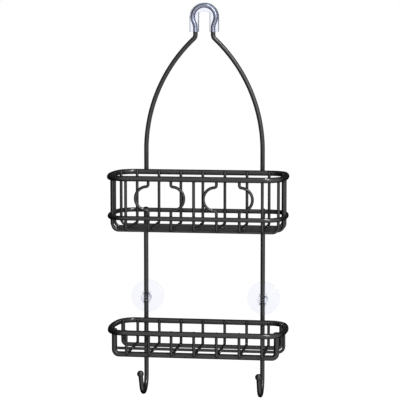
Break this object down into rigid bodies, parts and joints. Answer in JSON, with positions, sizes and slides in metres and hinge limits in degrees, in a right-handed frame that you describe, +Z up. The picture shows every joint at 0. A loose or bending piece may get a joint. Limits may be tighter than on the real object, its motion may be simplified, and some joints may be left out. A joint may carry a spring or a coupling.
{
  "type": "shower caddy",
  "caption": "Two-tier black wire shower caddy that hangs on a shower arm by a clear saddle, with J hooks below and sliding suction cups behind.",
  "frame": {"origin": "middle of the flat seat inside the hook saddle, where the shower arm bears", "axes": "+Z up, +Y towards the wall, the user stands on the -Y side, +X to the user's right"},
  "size_m": [0.2574, 0.1315, 0.568],
  "materials": {
    "black_coated_steel": "satin black powder coat on steel wire",
    "ball_tip": "smooth black",
    "clear_vinyl": "clear, faintly blue, polished"
  },
  "bodies": {
    "frame": {"hanger_rod": "black_coated_steel", "hook_saddle": "clear_vinyl", "upper_top_rim": "black_coated_steel", "upper_lower_rail": "black_coated_steel", "upper_cross_wire_1": "black_coated_steel", "upper_cross_wire_2": "black_coated_steel", "upper_cross_wire_3": "black_coated_steel", "upper_cross_wire_4": "black_coated_steel", "upper_cross_wire_5": "black_coated_steel", "upper_cross_wire_6": "black_coated_steel", "upper_cross_wire_7": "black_coated_steel", "upper_long_wire_1": "black_coated_steel", "upper_long_wire_2": "black_coated_steel", "upper_long_wire_3": "black_coated_steel", "upper_long_wire_4": "black_coated_steel", "lower_top_rim": "black_coated_steel", "lower_cross_wire_1": "black_coated_steel", "lower_cross_wire_2": "black_coated_steel", "lower_cross_wire_3": "black_coated_steel", "lower_cross_wire_4": "black_coated_steel", "lower_cross_wire_5": "black_coated_steel", "lower_cross_wire_6": "black_coated_steel", "lower_cross_wire_7": "black_coated_steel", "lower_long_wire_front": "black_coated_steel", "lower_long_wire_middle": "black_coated_steel", "lower_long_wire_back": "black_coated_steel", "left_drop_rod": "black_coated_steel", "right_drop_rod": "black_coated_steel", "left_hook_ball": "ball_tip", "right_hook_ball": "ball_tip"},
    "left_bush": {"left_cup_bush": "clear_vinyl"},
    "left_cup": {"left_suction_cup": "clear_vinyl"},
    "right_bush": {"right_cup_bush": "clear_vinyl"},
    "right_cup": {"right_suction_cup": "clear_vinyl"}
  },
  "joints": [
    {"name": "left_cup_slide", "type": "slide", "parent": "frame", "child": "left_bush", "axis": [0, 0, 1], "range_m": [-0.004, 0.083]},
    {"name": "left_cup_swivel", "type": "hinge", "parent": "left_bush", "child": "left_cup", "pos_m": [-0.0856, 0, -0.4152], "axis": [0, 0, 1], "continuous": true},
    {"name": "right_cup_slide", "type": "slide", "parent": "frame", "child": "right_bush", "axis": [0, 0, 1], "range_m": [-0.004, 0.083]},
    {"name": "right_cup_swivel", "type": "hinge", "parent": "right_bush", "child": "right_cup", "pos_m": [0.0856, 0, -0.4152], "axis": [0, 0, 1], "continuous": true}
  ]
}
